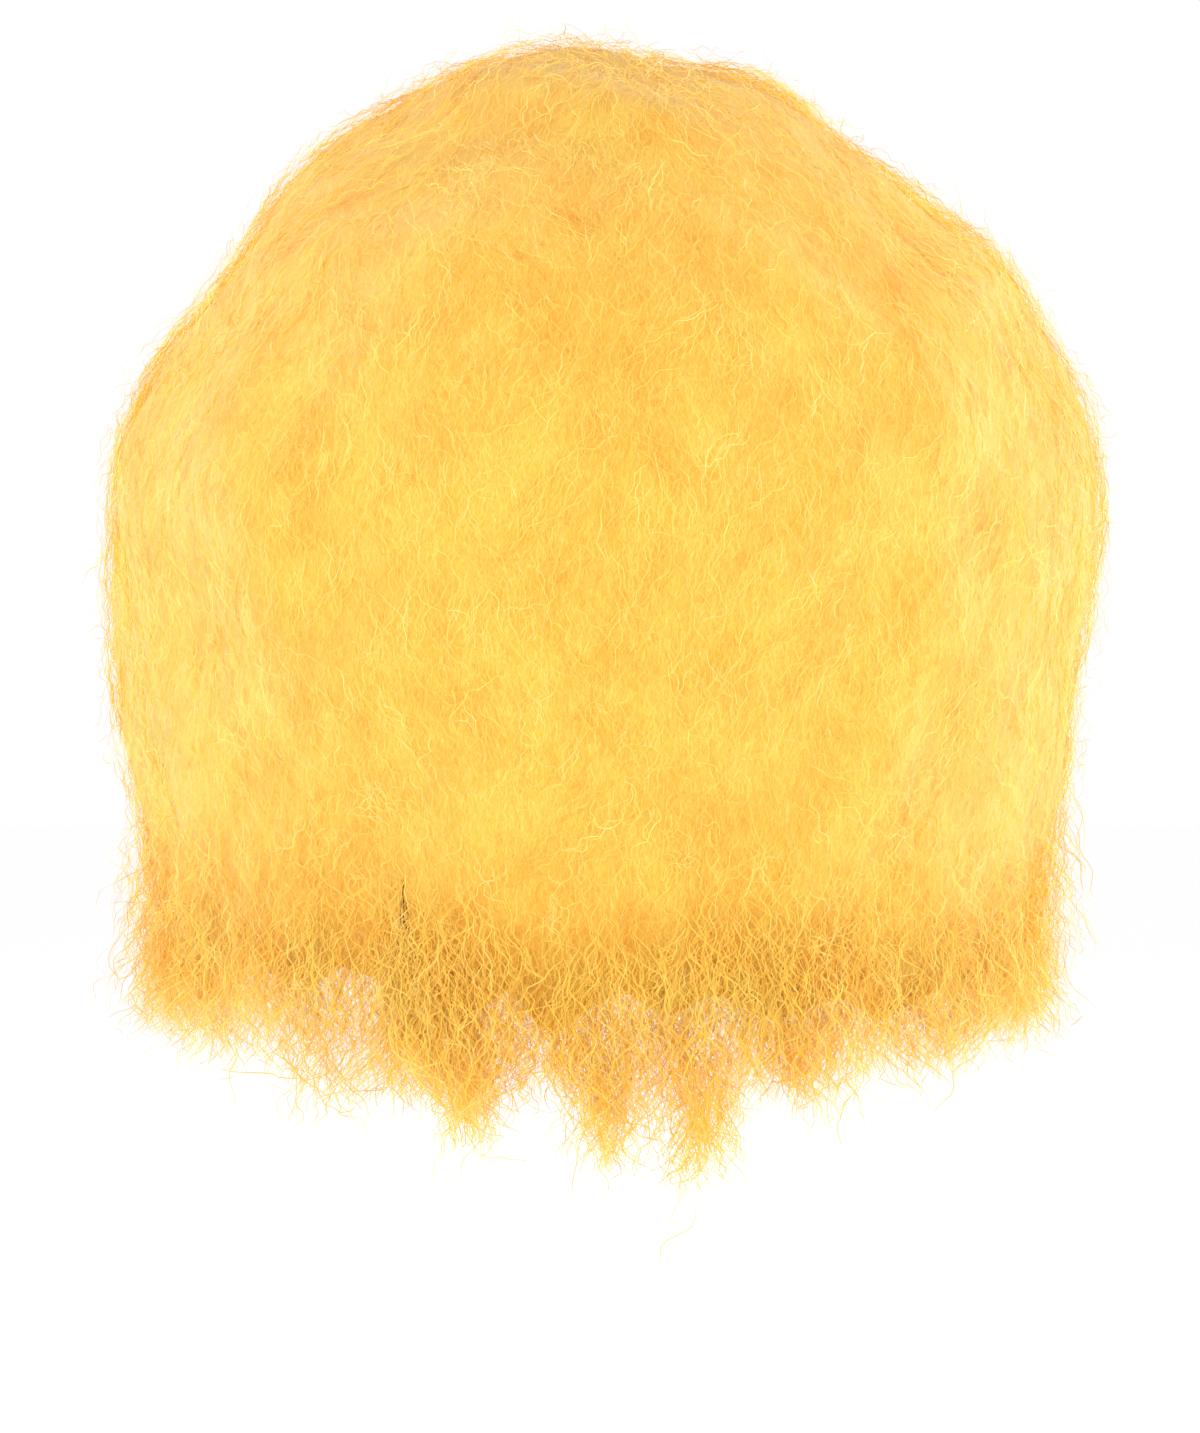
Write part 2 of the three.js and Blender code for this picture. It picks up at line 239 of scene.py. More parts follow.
@dataclass(frozen=True)
class FaceOpening:
    """The arch that leaves the face free, and the thin parting in the hem at the back."""

    width: float = 160 * MM
    top: float = 66 * MM
    arch: float = 90 * MM
    foot: float = 700 * MM
    parting_place: float = 85 * MM
    parting_width: float = 10 * MM
    parting_rise: float = 50 * MM
    parting_top: float = 274 * MM
    parting_depth: float = 60 * MM
    ruff_reach: float = 1.22
    arc_steps: int = 24

    def arch_outline(self) -> np.ndarray:
        """Outline in X and Z: half an ellipse over two straight legs."""
        turn = np.linspace(0, np.pi, self.arc_steps)
        spring = -self.top - self.arch
        arc = np.stack([self.width / 2 * np.cos(turn), spring + self.arch * np.sin(turn)], axis=-1)
        legs = np.array([[-self.width / 2, -self.foot], [self.width / 2, -self.foot]])
        return np.concatenate([legs, arc])

    def edge_share(self, place: np.ndarray) -> np.ndarray:
        """Distance from the arch's middle line over the arch's own half width there: one on its edge."""
        up = np.maximum(place[..., 2] + self.top + self.arch, 0.0)
        share = np.hypot(place[..., 0] / (self.width / 2), up / self.arch)
        return np.where(place[..., 1] < 0, share, np.inf)

    def parting_outline(self) -> np.ndarray:
        """Outline in X and Z of a narrow wedge that points up."""
        half = self.parting_width / 2 * (self.foot - self.parting_top) / self.parting_rise
        return np.array([
            [self.parting_place - half, -self.foot],
            [self.parting_place + half, -self.foot],
            [self.parting_place, -self.parting_top],
        ])

    def cutter(self, name: str, outline: np.ndarray, start: float, end: float) -> bpy.types.Object:
        """Prism of an outline between two distances along Y.

        Args:
            name: the cutter's name.
            outline: corners in X and Z, turned anticlockwise as seen from -Y.
            start: the end nearer to -Y.
            end: the end nearer to +Y.

        Returns:
            A mesh object whose faces carry the index of a cut face.
        """
        count = len(outline)
        near = np.insert(outline, 1, start, axis=1)
        far = np.insert(outline, 1, end, axis=1)
        corner = np.arange(count)
        following = (corner + 1) % count
        walls = np.stack([corner, corner + count, following + count, following], axis=-1)
        faces = [list(corner), list(corner[::-1] + count)] + walls.tolist()
        mesh = bpy.data.meshes.new(name)
        mesh.from_pydata(np.concatenate([near, far]).tolist(), [], faces)
        for _ in Face:
            mesh.materials.append(None)
        mesh.polygons.foreach_set("material_index", np.full(len(mesh.polygons), Face.CUT.value, dtype=np.int32))
        turn_outwards(mesh)
        return link(bpy.data.objects.new(name, mesh))


def link(obj: bpy.types.Object) -> bpy.types.Object:
    """Puts an object in the scene and returns it."""
    bpy.context.scene.collection.objects.link(obj)
    return obj


def turn_outwards(mesh: bpy.types.Mesh) -> None:
    """Merges a closed mesh's doubles and recalculates its normals outwards."""
    work = bmesh.new()
    work.from_mesh(mesh)
    bmesh.ops.remove_doubles(work, verts=work.verts, dist=1e-6)
    bmesh.ops.dissolve_degenerate(work, edges=work.edges, dist=1e-7)
    bmesh.ops.recalc_face_normals(work, faces=work.faces)
    work.to_mesh(mesh)
    work.free()


def ring_mesh(name: str, sections: np.ndarray, kinds: np.ndarray) -> bpy.types.Mesh:
    """Closed mesh from sections swept round the head.

    Args:
        name: the mesh's name.
        sections: array of columns, loop places and XYZ; it closes on itself both ways.
        kinds: kind of face that follows each loop place.

    Returns:
        A mesh of four-sided faces, turned outwards, with the kinds as material indices.
    """
    columns, places, _ = sections.shape
    index = np.arange(columns * places).reshape(columns, places)
    right = np.roll(index, -1, axis=0)
    quads = np.stack([index, np.roll(index, -1, axis=1), np.roll(right, -1, axis=1), right], axis=-1)
    mesh = bpy.data.meshes.new(name)
    mesh.from_pydata(sections.reshape(-1, 3).tolist(), [], quads.reshape(-1, 4).tolist())
    for _ in Face:
        mesh.materials.append(None)
    mesh.polygons.foreach_set("material_index", np.tile(kinds, columns).astype(np.int32))
    turn_outwards(mesh)
    return mesh


def cut_away(body: bpy.types.Object, cutter: bpy.types.Object) -> None:
    """Takes a cutter out of a body's mesh, keeping the kinds of its faces."""
    modifier = body.modifiers.new("opening", "BOOLEAN")
    modifier.operation = "DIFFERENCE"
    modifier.solver = "EXACT"
    modifier.object = cutter
    if hasattr(modifier, "material_mode"):
        modifier.material_mode = "INDEX"
    cut = bpy.data.meshes.new_from_object(body.evaluated_get(bpy.context.evaluated_depsgraph_get()))
    body.modifiers.clear()
    old = body.data
    body.data = cut
    bpy.data.meshes.remove(old)


class NodeBench:
    """Lays out the nodes of one material."""

    def __init__(self, name: str) -> None:
        """Starts an empty material with a Principled shader and its output."""
        self.material = bpy.data.materials.new(name)
        self.material.use_nodes = True
        self.tree = self.material.node_tree
        self.tree.nodes.clear()
        self.output = self.tree.nodes.new("ShaderNodeOutputMaterial")
        self.shader = self.tree.nodes.new("ShaderNodeBsdfPrincipled")
        self.join(self.shader.outputs["BSDF"], self.output.inputs["Surface"])

    def join(self, source: bpy.types.NodeSocket, target: bpy.types.NodeSocket) -> None:
        """Links two sockets."""
        self.tree.links.new(source, target)

    def feed(self, target: bpy.types.NodeSocket, value: object) -> None:
        """Links a socket to an input, or sets the input to a plain value."""
        if isinstance(value, bpy.types.NodeSocket):
            self.join(value, target)
        else:
            target.default_value = value

    def place(self) -> bpy.types.NodeSocket:
        """Object coordinates."""
        return self.tree.nodes.new("ShaderNodeTexCoord").outputs["Object"]

    def attribute(self, name: str) -> bpy.types.Node:
        """Reader of an attribute of the piece."""
        node = self.tree.nodes.new("ShaderNodeAttribute")
        node.attribute_name = name
        return node

    def maths(self, operation: str, *values: object) -> bpy.types.NodeSocket:
        """Result of a Math node."""
        node = self.tree.nodes.new("ShaderNodeMath")
        node.operation = operation
        for target, value in zip(node.inputs, values):
            self.feed(target, value)
        return node.outputs[0]

    def vector(self, operation: str, *values: object) -> bpy.types.NodeSocket:
        """Vector result of a Vector Math node."""
        node = self.tree.nodes.new("ShaderNodeVectorMath")
        node.operation = operation
        for target, value in zip(node.inputs, values):
            self.feed(target, value)
        return node.outputs["Value" if operation == "LENGTH" else "Vector"]

    def noise(self, vector: bpy.types.NodeSocket, scale: float, detail: float = 2.0, warp: float = 0.0,
              ) -> bpy.types.NodeSocket:
        """Noise value at a place."""
        node = self.tree.nodes.new("ShaderNodeTexNoise")
        node.inputs["Scale"].default_value = scale
        node.inputs["Detail"].default_value = detail
        node.inputs["Distortion"].default_value = warp
        self.join(vector, node.inputs["Vector"])
        return node.outputs["Fac"]

    def ramp(self, value: bpy.types.NodeSocket, stops: list[tuple[float, tuple[float, float, float]]],
             ) -> bpy.types.NodeSocket:
        """Colour ramp through the given stops."""
        node = self.tree.nodes.new("ShaderNodeValToRGB")
        elements = node.color_ramp.elements
        while len(elements) < len(stops):
            elements.new(0.5)
        for element, (place, colour) in zip(elements, stops):
            element.position = place
            element.color = (*colour, 1.0)
        self.join(value, node.inputs["Fac"])
        return node.outputs["Color"]

    def mix(self, share: object, first: object, second: object, blend: str = "MIX") -> bpy.types.NodeSocket:
        """Mix of two colours."""
        node = self.tree.nodes.new("ShaderNodeMix")
        node.data_type = "RGBA"
        node.blend_type = blend
        self.feed(node.inputs[0], share)
        self.feed(node.inputs[6], first)
        self.feed(node.inputs[7], second)
        return node.outputs[2]

    def bump(self, height: bpy.types.NodeSocket, strength: float, distance: float) -> None:
        """Bump on the shader's normal."""
        node = self.tree.nodes.new("ShaderNodeBump")
        node.inputs["Strength"].default_value = strength
        node.inputs["Distance"].default_value = distance
        self.join(height, node.inputs["Height"])
        self.join(node.outputs["Normal"], self.shader.inputs["Normal"])


@dataclass(frozen=True)
class FibreFinish:
    """Crimped synthetic yellow fibre, its colour painted by height above the bed: amber in the depths as painted
    shade, gold and yellow between, cream at the free ends as painted pale light.
    """

    amber_depth_shade: tuple[float, float, float] = (0.94, 0.50, 0.04)
    gold: tuple[float, float, float] = (0.96, 0.61, 0.065)
    yellow: tuple[float, float, float] = (0.97, 0.71, 0.12)
    cream_tip_light: tuple[float, float, float] = (0.99, 0.83, 0.38)
    roughness: float = 0.5
    sheen: float = 0.5
    shade_patch_scale: float = 26.0
    streak_scale: float = 330.0
    streak_draw: float = 0.13

    def dress(self, bench: NodeBench) -> None:
        """Sets the even values of the fibre on the shader's own sockets."""
        shader = bench.shader
        shader.inputs["Roughness"].default_value = self.roughness
        shader.inputs["Specular IOR Level"].default_value = 0.5
        shader.inputs["Sheen Weight"].default_value = self.sheen
        shader.inputs["Sheen Roughness"].default_value = 0.35
        shader.inputs["Sheen Tint"].default_value = (1.0, 0.94, 0.78, 1.0)

    def shade_patches(self, bench: NodeBench) -> bpy.types.NodeSocket:
        """Soft patches a few centimetres wide of painted shade, which darken the hair towards orange."""
        return bench.noise(bench.place(), self.shade_patch_scale, detail=3.0)

    def fibre_material(self, name: str) -> bpy.types.Material:
        """Finish of the loose fibres, which read their height above the bed, for painted shade in the depths and
        painted pale light at the free ends, and their own tint.
        """
        bench = NodeBench(name)
        self.dress(bench)
        height = bench.attribute("height").outputs["Fac"]
        tint = bench.attribute("tint").outputs["Fac"]
        # Painted shade and light by height above the bed: amber in the depths as painted shade, gold and yellow
        # between, cream at the free ends as painted pale light.
        lie = bench.ramp(height, [(0.0, self.amber_depth_shade), (0.35, self.gold), (0.65, self.yellow), (1.0, self.cream_tip_light)])
        own = bench.ramp(tint, [
            (0.0, (0.92, 0.74, 0.50)), (0.3, (1.0, 0.92, 0.86)), (0.7, (1.0, 1.0, 1.0)), (1.0, (1.0, 1.0, 0.72))])
        coloured = bench.mix(0.55, lie, own, "MULTIPLY")
        # Soft patches of painted shade that darken the fibres towards orange.
        patch = bench.ramp(self.shade_patches(bench), [(0.42, (1.0, 0.85, 0.68)), (0.6, (1.0, 1.0, 1.0))])
        bench.join(bench.mix(0.6, coloured, patch, "MULTIPLY"), bench.shader.inputs["Base Color"])
        return bench.material

    def streaks(self, bench: NodeBench, turn: bpy.types.NodeSocket, fall: bpy.types.NodeSocket, shear: float,
                ) -> bpy.types.NodeSocket:
        """Fine streaks that run down from the crown at a slant.

        The azimuth, sheared by the fall, goes round a circle, and the fall goes up slowly beside it, so noise read
        at that place is drawn out along the fall.

        Args:
            bench: where the nodes go.
            turn: azimuth.
            fall: angle turned down from +Z.
            shear: turns of azimuth for each turn of the fall.

        Returns:
            The streaks' value.
        """
        slant = bench.maths("ADD", turn, bench.maths("MULTIPLY", fall, shear))
        place = bench.tree.nodes.new("ShaderNodeCombineXYZ")
        bench.join(bench.maths("COSINE", slant), place.inputs["X"])
        bench.join(bench.maths("SINE", slant), place.inputs["Y"])
        bench.join(bench.maths("MULTIPLY", fall, self.streak_draw), place.inputs["Z"])
        return bench.noise(place.outputs["Vector"], self.streak_scale, detail=2.0, warp=1.2)

    def bed_material(self, name: str, heart: np.ndarray) -> bpy.types.Material:
        """Finish of the beds: fine streaks that cross each other on their way down, amber in their low parts as
        painted shade and cream on their crests as painted light, over soft patches of painted shade.

        Args:
            name: the material's name.
            heart: the point that the streaks are laid out round.

        Returns:
            The material.
        """
        bench = NodeBench(name)
        self.dress(bench)
        ray = bench.vector("SUBTRACT", bench.place(), tuple(heart))
        split = bench.tree.nodes.new("ShaderNodeSeparateXYZ")
        bench.join(ray, split.inputs[0])
        level = bench.vector("LENGTH", bench.vector("MULTIPLY", ray, (1.0, 1.0, 0.0)))
        fall = bench.maths("ARCTAN2", level, split.outputs["Z"])
        turn = bench.maths("ARCTAN2", split.outputs["Y"], split.outputs["X"])
        crossing = [self.streaks(bench, turn, fall, shear) for shear in (-0.45, 0.1, 0.5)]
        top = bench.maths("MAXIMUM", bench.maths("MAXIMUM", crossing[0], crossing[1]), crossing[2])
        # Streak colour: amber in the streaks' low parts as painted shade, cream on their crests as painted light.
        lie = bench.ramp(top, [(0.46, self.amber_depth_shade), (0.58, self.gold), (0.68, self.yellow), (0.8, self.cream_tip_light)])
        # Soft patches of painted shade over the streaks.
        shade = bench.ramp(self.shade_patches(bench), [(0.4, (1.0, 0.85, 0.68)), (0.62, (1.0, 1.0, 1.0))])
        bench.join(bench.mix(0.6, lie, shade, "MULTIPLY"), bench.shader.inputs["Base Color"])
        bench.bump(top, 0.8, 1.0 * MM)
        return bench.material


@dataclass(frozen=True)
class KnitFinish:
    """Knitted stretch net or elastic: a small cell pattern with rounded yarns, and painted shade in the gaps
    between them.
    """

    yarn: tuple[float, float, float]
    gap_shade: tuple[float, float, float]
    cells: float
    roughness: float = 0.85

    def material(self, name: str) -> bpy.types.Material:
        """The knit's material."""
        bench = NodeBench(name)
        bench.shader.inputs["Roughness"].default_value = self.roughness
        bench.shader.inputs["Sheen Weight"].default_value = 0.3
        cell = bench.tree.nodes.new("ShaderNodeTexVoronoi")
        cell.feature = "DISTANCE_TO_EDGE"
        cell.inputs["Scale"].default_value = self.cells
        cell.inputs["Randomness"].default_value = 1.0
        bench.join(bench.place(), cell.inputs["Vector"])
        edge = cell.outputs["Distance"]
        wear = bench.noise(bench.place(), 40.0)
        # The gaps between the yarns are painted dark as painted shade.
        knit = bench.ramp(edge, [(0.06, self.yarn), (0.2, self.gap_shade)])
        bench.join(bench.mix(bench.maths("MULTIPLY", wear, 0.35), knit, (*self.yarn, 1.0)),
                   bench.shader.inputs["Base Color"])
        bench.bump(bench.maths("SUBTRACT", 0.2, edge), 0.6, 0.8 * MM)
        return bench.material


@dataclass(frozen=True)
class Growth:
    """How one growth of fibres lies on its bed. Lengths are in metres, angles in radians."""

    share: float
    length: float
    spread: float
    width: float
    deep: float
    high: float
    tilt: float
    ripple: float
    stray: float
    kink: float
    wander: float
    roll: float
    # pale shifts the height value that picks the painted depth shade and pale tip light.
    pale: float = 0.0


FLEECE = Growth(
    share=0.86, length=30 * MM, spread=0.3, width=0.34 * MM, deep=-2.5 * MM, high=5.5 * MM, tilt=0.08,
    ripple=0.7 * MM, stray=0.42, kink=0.42, wander=0.3, roll=1.1)
HALO = Growth(
    share=0.14, length=24 * MM, spread=0.4, width=0.24 * MM, deep=2 * MM, high=10 * MM, tilt=0.3,
    ripple=1.2 * MM, stray=0.6, kink=0.5, wander=0.5, roll=1.1, pale=-0.2)
RUFF = Growth(
    share=0.8, length=28 * MM, spread=0.4, width=0.34 * MM, deep=-2 * MM, high=9 * MM, tilt=0.35,
    ripple=1.6 * MM, stray=1.6, kink=0.6, wander=0.6, roll=1.1)
LINING = Growth(
    share=0.8, length=30 * MM, spread=0.4, width=0.4 * MM, deep=-1 * MM, high=6 * MM, tilt=0.3,
    ripple=1.2 * MM, stray=0.8, kink=0.6, wander=0.5, roll=1.1)
SWIRL = Waves(count=12, shortest=60 * MM, longest=150 * MM, seed=21)
TUFTS = Waves(count=24, shortest=12 * MM, longest=34 * MM, seed=22)
SWIRL_ANGLE = 0.22
TUFT_HEIGHT = 1.1 * MM
SEGMENTS = 8
CURLY_FROM = -170 * MM
CURLY_BELOW = -300 * MM
CURLY_GAIN = 0.8


@dataclass(frozen=True)
class Roots:
    """Places that fibres grow from, with the bed's normal there and the lie of the hair."""

    place: np.ndarray
    normal: np.ndarray
    lie: np.ndarray

    def picked(self, rows: np.ndarray) -> "Roots":
        """The roots at some rows."""
        return Roots(self.place[rows], self.normal[rows], self.lie[rows])


def combed_lie(place: np.ndarray, normal: np.ndarray) -> np.ndarray:
    """Lie of the hair: down and outwards from the middle axis, laid flat on the surface."""
    level = unit(place * np.array([1.0, 1.0, 0.0]))
    lie = 0.8 * level + np.array([0.0, 0.0, -1.0])
    return unit(lie - normal * (lie * normal).sum(axis=-1, keepdims=True))


def scattered_roots(mesh: bpy.types.Mesh, weights: np.ndarray, density: float, seed: int) -> Roots:
    """Roots spread by area over the faces of a bed.

    Args:
        mesh: the bed.
        weights: share of the density that each face gets.
        density: roots on a square metre.
        seed: seed of the draws.

    Returns:
        The roots.
    """
    mesh.calc_loop_triangles()
    triangles = np.empty(len(mesh.loop_triangles) * 3, dtype=np.int32)
    mesh.loop_triangles.foreach_get("vertices", triangles)
    owners = np.empty(len(mesh.loop_triangles), dtype=np.int32)
    mesh.loop_triangles.foreach_get("polygon_index", owners)
    points = np.empty(len(mesh.vertices) * 3)
    mesh.vertices.foreach_get("co", points)
    corners = points.reshape(-1, 3)[triangles.reshape(-1, 3)]
    across = np.cross(corners[:, 1] - corners[:, 0], corners[:, 2] - corners[:, 0])
    area = np.linalg.norm(across, axis=1) / 2 * weights[owners]
    count = round(density * area.sum())
    draw = np.random.default_rng(seed)
    chosen = draw.choice(len(area), count, p=area / area.sum())
    first, second = np.sqrt(draw.random(count))[:, None], draw.random(count)[:, None]
    a, b, c = (corners[chosen, corner] for corner in range(3))
    place = a * (1 - first) + b * first * (1 - second) + c * first * second
    normal = unit(across[chosen])
    return Roots(place, normal, combed_lie(place, normal))


@dataclass(frozen=True)
class Strands:
    """Fibres as middle lines, each with the normal of its bed, its tint, width and roll, and its heights."""

    points: np.ndarray
    normal: np.ndarray
    height: np.ndarray
    tint: np.ndarray
    width: np.ndarray
    roll: np.ndarray

    @staticmethod
    def joined(parts: list["Strands"]) -> "Strands":
        """All the fibres of several growths with the same number of points."""
        return Strands(*(np.concatenate([getattr(part, name) for part in parts])
                         for name in Strands.__dataclass_fields__))

    def picked(self, rows: np.ndarray) -> "Strands":
        """The fibres at some rows."""
        return Strands(*(getattr(self, name)[rows] for name in Strands.__dataclass_fields__))

    def mesh(self, name: str) -> bpy.types.Mesh:
        """Slim ribbons along the middle lines, each with a bake cell of its own.

        A ribbon's edge direction is the cross of its run and the bed's normal, rolled about the run, and its
        width tapers to a fifth at both ends with the fourth power of the distance from the middle.

        Args:
            name: the mesh's name.

        Returns:
            The mesh.
        """
        count, steps, _ = self.points.shape
        run = unit(np.gradient(self.points, axis=1))
        flat = unit(np.cross(run, self.normal[:, None]))
        proud = np.cross(flat, run)
        roll = self.roll[:, None, None]
        edge = flat * np.cos(roll) + proud * np.sin(roll)
        along = np.linspace(-1, 1, steps)[None, :, None]
        half = edge * self.width[:, None, None] / 2 * (1 - 0.8 * along ** 4)
        verts = np.stack([self.points - half, self.points + half], axis=2).reshape(-1, 3)
        index = np.arange(count * steps * 2).reshape(count, steps, 2)
        quads = np.stack(
            [index[:, :-1, 0], index[:, :-1, 1], index[:, 1:, 1], index[:, 1:, 0]], axis=-1).reshape(-1, 4)
        mesh = bpy.data.meshes.new(name)
        mesh.vertices.add(len(verts))
        mesh.vertices.foreach_set("co", verts.ravel())
        mesh.loops.add(quads.size)
        mesh.loops.foreach_set("vertex_index", quads.ravel().astype(np.int32))
        mesh.polygons.add(len(quads))
        mesh.polygons.foreach_set("loop_start", np.arange(0, quads.size, 4, dtype=np.int32))
        mesh.polygons.foreach_set("use_smooth", np.ones(len(quads), dtype=bool))
        store(mesh, "height", np.repeat(self.height.reshape(-1), 2))
        store(mesh, "tint", np.repeat(self.tint, steps * 2))
        cells = bake_cells(count, steps).reshape(-1, 2)[quads.ravel()]
        mesh.uv_layers.new(name=BAKE_MAP).data.foreach_set("uv", cells.ravel())
        mesh.update(calc_edges=True)
        return mesh


def grown(roots: Roots, growth: Growth, bend_radius: float, deepest: float, proudest: float, seed: int,
          ) -> Strands:
    """Fibres of one growth, laid on their bed.

    A heading that follows the swirl of the hair and swings in two waves, a short kink and a long wander, is
    summed up into a path in the plane of the surface. The height above the bed rises by the tilt along the
    fibre, ripples with its kinks, and falls with the square of the distance from its middle over twice the
    cloud's radius, so the fibre follows the round of the cloud.

    Args:
        roots: where the fibres lie, taken as their middles.
        growth: how they lie.
        bend_radius: radius of the cloud, which the fibres bend round.
        deepest: height above the bed that counts as nought in the colours, the deepest painted shade.
        proudest: height that counts as one, the palest painted light.
        seed: seed of the draws.

    Returns:
        The fibres.
    """
    draw = np.random.default_rng(seed)
    count, steps = len(roots.place), SEGMENTS + 1
    length = growth.length * (1 + growth.spread * draw.uniform(-1, 1, (count, 1)))
    along = (np.arange(steps) / SEGMENTS - 0.5) * length
    kink_length = draw.uniform(9 * MM, 16 * MM, (count, 1))
    wander_length = draw.uniform(28 * MM, 60 * MM, (count, 1))
    phase = draw.uniform(0, 2 * np.pi, (3, count, 1))
    low = np.clip((CURLY_FROM - roots.place[:, 2]) / (CURLY_FROM - CURLY_BELOW), 0, 1)
    curl = 1 + CURLY_GAIN * low[:, None]
    heading = SWIRL_ANGLE * SWIRL.at(roots.place)[:, None] + growth.stray * draw.normal(size=(count, 1))
    heading = heading + growth.kink * curl * np.sin(2 * np.pi * along / kink_length + phase[0])
    heading = heading + growth.wander * curl * np.sin(2 * np.pi * along / wander_length + phase[1])
    stride = length / SEGMENTS
    forward = np.cumsum(np.cos(heading) * stride, axis=1)
    sideways = np.cumsum(np.sin(heading) * stride, axis=1)
    forward -= forward[:, steps // 2, None]
    sideways -= sideways[:, steps // 2, None]
    tuft = TUFTS.at(roots.place)
    rest = draw.uniform(growth.deep, growth.high, (count, 1)) + TUFT_HEIGHT * tuft[:, None]
    tilt = growth.tilt * draw.normal(size=(count, 1))
    height = rest + tilt * along + growth.ripple * np.sin(2 * np.pi * along / kink_length + phase[2])
    fallen = height - (forward ** 2 + sideways ** 2) / (2 * bend_radius)
    aside = np.cross(roots.normal, roots.lie)
    points = (roots.place[:, None] + roots.lie[:, None] * forward[..., None]
              + aside[:, None] * sideways[..., None] + roots.normal[:, None] * fallen[..., None])
    return Strands(
        points=points, normal=roots.normal, height=(height - deepest) / (proudest - deepest) + growth.pale,
        tint=0.5 + 0.14 * tuft + draw.uniform(-0.28, 0.28, count),
        width=growth.width * draw.uniform(0.7, 1.3, count),
        roll=draw.uniform(-growth.roll, growth.roll, count))


def store(mesh: bpy.types.Mesh, name: str, values: np.ndarray) -> None:
    """Stores one number for each vertex."""
    mesh.attributes.new(name, "FLOAT", "POINT").data.foreach_set("value", np.clip(values, 0, 1).astype(np.float32))


def bake_cells(count: int, steps: int, margin: float = 0.2) -> np.ndarray:
    """Places in the bake map: a cell of its own for each fibre, with its length up the cell.

    Args:
        count: how many fibres.
        steps: points along each.
        margin: share of a cell left free on each side.

    Returns:
        Array of fibres, steps, two edges and the two map coordinates.
    """
    columns = math.ceil(math.sqrt(count * 2.5))
    rows = math.ceil(count / columns)
    cell = np.arange(count)
    left = (cell % columns)[:, None, None] + np.array([margin, 1 - margin])[None, None]
    low = (cell // columns)[:, None, None] + np.linspace(margin, 1 - margin, steps)[None, :, None]
    return np.stack(np.broadcast_arrays(left / columns, low / rows), axis=-1)


